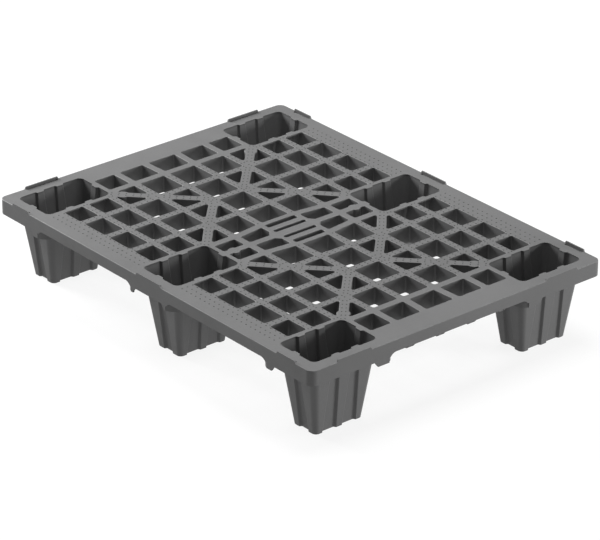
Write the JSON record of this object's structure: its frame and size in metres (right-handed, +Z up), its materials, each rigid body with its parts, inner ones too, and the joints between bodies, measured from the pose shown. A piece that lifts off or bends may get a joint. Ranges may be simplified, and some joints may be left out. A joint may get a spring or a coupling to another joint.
{
  "type": "nestable plastic pallet",
  "caption": "Nestable half-size plastic pallet: open grid deck with cross bracing, arched skirt and raised edge lips on hollow tapered fluted feet.",
  "frame": {"origin": "middle of the footprint, on the plane that the feet stand on", "axes": "+X along the 800 mm side, +Y along the 600 mm side, +Z up through the deck"},
  "size_m": [0.8, 0.6, 0.14],
  "materials": {
    "deck_plastic": "fine grain, satin",
    "skirt_plastic": "fine grain, satin",
    "foot_plastic": "fine grain, satin",
    "lip_plastic": "fine grain, satin"
  },
  "bodies": {
    "root": {"deck_end_left": "deck_plastic", "deck_end_right": "deck_plastic", "deck_hub": "deck_plastic", "deck_inner_back_left": "deck_plastic", "deck_inner_back_right": "deck_plastic", "deck_inner_front_left": "deck_plastic", "deck_inner_front_right": "deck_plastic", "deck_outer_back_left": "deck_plastic", "deck_outer_back_right": "deck_plastic", "deck_outer_front_left": "deck_plastic", "deck_outer_front_right": "deck_plastic", "deck_rim_corner_back_left": "deck_plastic", "deck_rim_corner_back_right": "deck_plastic", "deck_rim_corner_front_left": "deck_plastic", "deck_rim_corner_front_right": "deck_plastic", "deck_rim_middle_back": "deck_plastic", "deck_rim_middle_front": "deck_plastic", "deck_spine_back": "deck_plastic", "deck_spine_front": "deck_plastic", "deck_strip_left": "deck_plastic", "deck_strip_right": "deck_plastic", "foot_corner_back_left": "foot_plastic", "foot_corner_back_right": "foot_plastic", "foot_corner_front_left": "foot_plastic", "foot_corner_front_right": "foot_plastic", "foot_middle_back": "foot_plastic", "foot_middle_front": "foot_plastic", "lip_long_back_left": "lip_plastic", "lip_long_back_right": "lip_plastic", "lip_long_front_left": "lip_plastic", "lip_long_front_right": "lip_plastic", "lip_middle_back": "lip_plastic", "lip_middle_front": "lip_plastic", "lip_short_back_left": "lip_plastic", "lip_short_back_right": "lip_plastic", "lip_short_front_left": "lip_plastic", "lip_short_front_right": "lip_plastic", "skirt_corner_back_left": "skirt_plastic", "skirt_corner_back_right": "skirt_plastic", "skirt_corner_front_left": "skirt_plastic", "skirt_corner_front_right": "skirt_plastic", "skirt_long_back_left": "skirt_plastic", "skirt_long_back_right": "skirt_plastic", "skirt_long_front_left": "skirt_plastic", "skirt_long_front_right": "skirt_plastic", "skirt_middle_back": "skirt_plastic", "skirt_middle_front": "skirt_plastic", "skirt_short_left": "skirt_plastic", "skirt_short_right": "skirt_plastic"}
  },
  "joints": []
}
